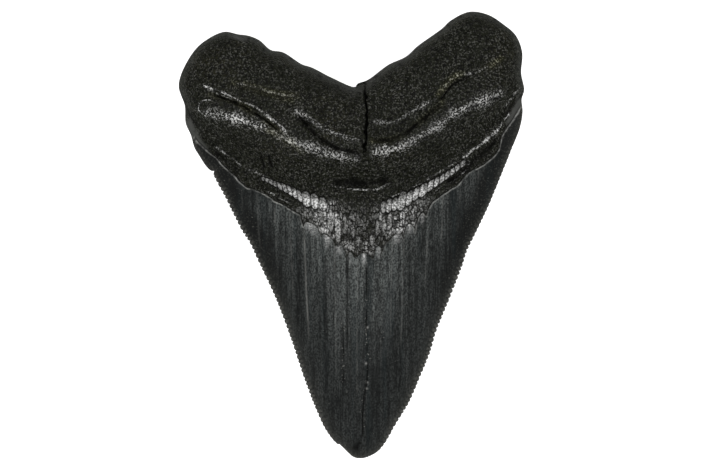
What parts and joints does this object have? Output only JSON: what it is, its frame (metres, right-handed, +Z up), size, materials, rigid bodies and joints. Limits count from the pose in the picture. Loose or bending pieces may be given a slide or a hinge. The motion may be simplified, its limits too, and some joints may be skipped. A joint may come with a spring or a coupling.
{
  "type": "fossil megalodon tooth",
  "caption": "Triangular fossil shark tooth with a V-notched folded root, wrinkled neck band and striated crown with serrated edges.",
  "frame": {"origin": "middle of the tooth's bounding box, on the surface that the tooth lies on", "axes": "+X across the tooth, to the right as the folded lingual face is seen; +Y from the tip towards the root; +Z up, out of the lingual face"},
  "size_m": [0.0691, 0.0894, 0.0187],
  "materials": {
    "fossil_tooth": "black mineralised root and enamel, dull granular root, semi-gloss enamel"
  },
  "bodies": {
    "root": {"tooth": "fossil_tooth"}
  },
  "joints": []
}
